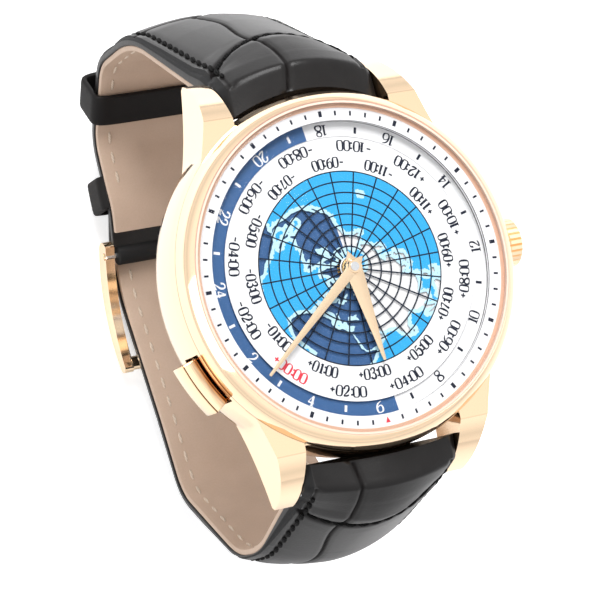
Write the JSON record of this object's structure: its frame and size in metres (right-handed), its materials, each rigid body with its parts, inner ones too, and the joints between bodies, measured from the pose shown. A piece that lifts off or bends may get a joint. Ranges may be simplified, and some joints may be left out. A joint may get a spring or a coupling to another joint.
{
  "type": "world time wristwatch",
  "caption": "Round wristwatch with a world map disc, a ring of 24 hours round it, crown, pusher, see-through back and a buckled leather strap.",
  "frame": {"origin": "centre of the case back's outer face, on the dial's axis", "axes": "+Z out through the dial, +X to 3 o'clock and the crown, +Y to 12 o'clock"},
  "size_m": [0.0438, 0.0661, 0.0595],
  "materials": {
    "rose_gold": "polished",
    "sapphire": "clear, polished",
    "gasket": "matte",
    "nylon": "satin, pale",
    "dial_white": "satin",
    "disc_blue": "satin, half of the ring white",
    "disc_clear": "clear with a printed map",
    "steel": "satin",
    "brass_ring": "satin",
    "rhodium": "striped",
    "ruby": "polished",
    "blued_steel": "polished",
    "gear_brass": "satin",
    "tungsten": "satin",
    "leather_black": "glossy, large scales",
    "leather_lining": "matte"
  },
  "bodies": {
    "case": {"mid_case": "rose_gold", "bezel": "rose_gold", "crystal": "sapphire", "crystal_gasket": "nylon", "flange_ring": "dial_white", "dial_plate": "dial_white", "case_back": "rose_gold", "back_crystal": "sapphire", "back_gasket": "gasket", "case_back_screws": "rose_gold", "crown_tube": "steel", "movement_ring": "brass_ring", "mainplate": "rhodium", "barrel_bridge": "rhodium", "train_bridge": "rhodium", "balance_cock": "rhodium", "jewels": "ruby", "bridge_screws": "blued_steel", "click_and_boss": "steel", "rotor_bearing": "steel", "hairspring": "blued_steel", "spring_bar_12": "steel", "spring_bar_6": "steel"},
    "setting_lever": {"setting_lever": "steel"},
    "crown": {"crown": "rose_gold", "winding_stem": "steel"},
    "pusher": {"pusher": "rose_gold"},
    "minute_hand": {"minute_hand": "rose_gold", "cannon_pinion": "steel"},
    "minute_wheel": {"minute_wheel": "gear_brass"},
    "hour_hand": {"hour_hand": "rose_gold", "hour_wheel": "gear_brass"},
    "day_night_disc": {"day_night_disc": "disc_blue"},
    "world_disc": {"world_disc": "disc_clear"},
    "rotor": {"rotor": "tungsten"},
    "barrel": {"barrel": "gear_brass"},
    "centre_wheel": {"centre_wheel": "gear_brass"},
    "third_wheel": {"third_wheel": "gear_brass"},
    "fourth_wheel": {"fourth_wheel": "gear_brass"},
    "escape_wheel": {"escape_wheel": "steel"},
    "pallet_fork": {"pallet_fork": "steel"},
    "balance_wheel": {"balance_wheel": "gear_brass"},
    "ratchet_wheel": {"ratchet_wheel": "steel"},
    "crown_wheel": {"crown_wheel": "steel"},
    "strap_12": {"strap_12": "leather_black", "lining_12": "leather_lining", "keeper_fixed": "leather_black", "buckle_bar": "steel"},
    "strap_6": {"strap_6": "leather_black", "lining_6": "leather_lining"},
    "buckle_frame": {"buckle_frame": "rose_gold"},
    "buckle_tongue": {"buckle_tongue": "rose_gold"},
    "keeper_floating": {"keeper_floating": "leather_black"}
  },
  "joints": [
    {"name": "crown_pull", "type": "slide", "parent": "case", "child": "setting_lever", "axis": [1, 0, 0], "range_m": [0, 0.0012]},
    {"name": "crown_turn", "type": "hinge", "parent": "setting_lever", "child": "crown", "pos_m": [0.0215, 0, 0.005], "axis": [1, 0, 0], "continuous": true},
    {"name": "pusher_press", "type": "slide", "parent": "case", "child": "pusher", "axis": [0.8949, 0.4462, 0], "range_m": [0, 0.0008], "stiffness_N_per_m": 1000, "springref_m": -0.0002},
    {"name": "minute_hand_turn", "type": "hinge", "parent": "case", "child": "minute_hand", "pos_m": [0, 0, 0.01005], "axis": [0, 0, -1], "continuous": true},
    {"name": "minute_wheel_turn", "type": "hinge", "parent": "case", "child": "minute_wheel", "pos_m": [0.0036, 0, 0.0076], "axis": [0, 0, -1], "continuous": true},
    {"name": "hour_hand_turn", "type": "hinge", "parent": "case", "child": "hour_hand", "pos_m": [0, 0, 0.0097], "axis": [0, 0, -1], "continuous": true},
    {"name": "day_night_turn", "type": "hinge", "parent": "case", "child": "day_night_disc", "pos_m": [0, 0, 0.0088], "axis": [0, 0, -1], "continuous": true},
    {"name": "world_disc_turn", "type": "hinge", "parent": "case", "child": "world_disc", "pos_m": [0, 0, 0.0093], "axis": [0, 0, -1], "continuous": true},
    {"name": "rotor_turn", "type": "hinge", "parent": "case", "child": "rotor", "pos_m": [0, 0, 0.002], "axis": [0, 0, 1], "continuous": true},
    {"name": "fourth_wheel_turn", "type": "hinge", "parent": "case", "child": "fourth_wheel", "pos_m": [-0.00123, -0.00459, 0.0053], "axis": [0, 0, -1], "continuous": true},
    {"name": "third_wheel_turn", "type": "hinge", "parent": "case", "child": "third_wheel", "pos_m": [0.00168, -0.00291, 0.005], "axis": [0, 0, -1], "continuous": true},
    {"name": "centre_wheel_turn", "type": "hinge", "parent": "case", "child": "centre_wheel", "pos_m": [0, 0, 0.00565], "axis": [0, 0, -1], "continuous": true},
    {"name": "barrel_turn", "type": "hinge", "parent": "case", "child": "barrel", "pos_m": [-0.00382, 0.00382, 0.005], "axis": [0, 0, -1], "continuous": true},
    {"name": "escape_wheel_turn", "type": "hinge", "parent": "case", "child": "escape_wheel", "pos_m": [-0.00433, -0.00588, 0.0048], "axis": [0, 0, -1], "continuous": true},
    {"name": "pallet_fork_swing", "type": "hinge", "parent": "case", "child": "pallet_fork", "pos_m": [-0.00646, -0.00531, 0.0048], "axis": [0, 0, -1], "range_deg": [-5, 5]},
    {"name": "balance_swing", "type": "hinge", "parent": "case", "child": "balance_wheel", "pos_m": [-0.0086, -0.0036, 0.0051], "axis": [0, 0, -1], "range_deg": [-270, 270]},
    {"name": "crown_wheel_turn", "type": "hinge", "parent": "case", "child": "crown_wheel", "pos_m": [0.00155, 0.00459, 0.0031], "axis": [0, 0, -1], "continuous": true},
    {"name": "ratchet_wheel_turn", "type": "hinge", "parent": "case", "child": "ratchet_wheel", "pos_m": [-0.00382, 0.00382, 0.0031], "axis": [0, 0, -1], "continuous": true},
    {"name": "strap_12_swing", "type": "hinge", "parent": "case", "child": "strap_12", "pos_m": [0, 0.0225, 0.0031], "axis": [1, 0, 0], "range_deg": [-0.4, 0.4], "stiffness_Nm_per_rad": 0.5},
    {"name": "strap_6_swing", "type": "hinge", "parent": "case", "child": "strap_6", "pos_m": [0, -0.0225, 0.0031], "axis": [1, 0, 0], "range_deg": [-0.4, 0.4]},
    {"name": "buckle_frame_swing", "type": "hinge", "parent": "strap_12", "child": "buckle_frame", "pos_m": [0, 0.012, -0.04255], "axis": [1, 0, 0], "range_deg": [0, 1]},
    {"name": "buckle_tongue_swing", "type": "hinge", "parent": "strap_12", "child": "buckle_tongue", "pos_m": [0, 0.012, -0.04255], "axis": [1, 0, 0], "range_deg": [0, 3]},
    {"name": "keeper_slide", "type": "slide", "parent": "strap_12", "child": "keeper_floating", "axis": [0, 0.7118, 0.7024], "range_m": [-0.0006, 0.0006]}
  ],
  "couplings": [
    {"joint": "minute_wheel_turn", "follows": "minute_hand_turn", "ratio": -0.33333},
    {"joint": "hour_hand_turn", "follows": "minute_hand_turn", "ratio": 0.083333},
    {"joint": "day_night_turn", "follows": "minute_hand_turn", "ratio": 0.041667},
    {"joint": "third_wheel_turn", "follows": "fourth_wheel_turn", "ratio": -0.16667},
    {"joint": "centre_wheel_turn", "follows": "fourth_wheel_turn", "ratio": 0.027778},
    {"joint": "barrel_turn", "follows": "fourth_wheel_turn", "ratio": -0.0034722},
    {"joint": "escape_wheel_turn", "follows": "fourth_wheel_turn", "ratio": -6},
    {"joint": "crown_wheel_turn", "follows": "crown_turn", "ratio": 0.5},
    {"joint": "ratchet_wheel_turn", "follows": "crown_turn", "ratio": -0.31818},
    {"joint": "strap_6_swing", "follows": "strap_12_swing", "ratio": 1}
  ]
}
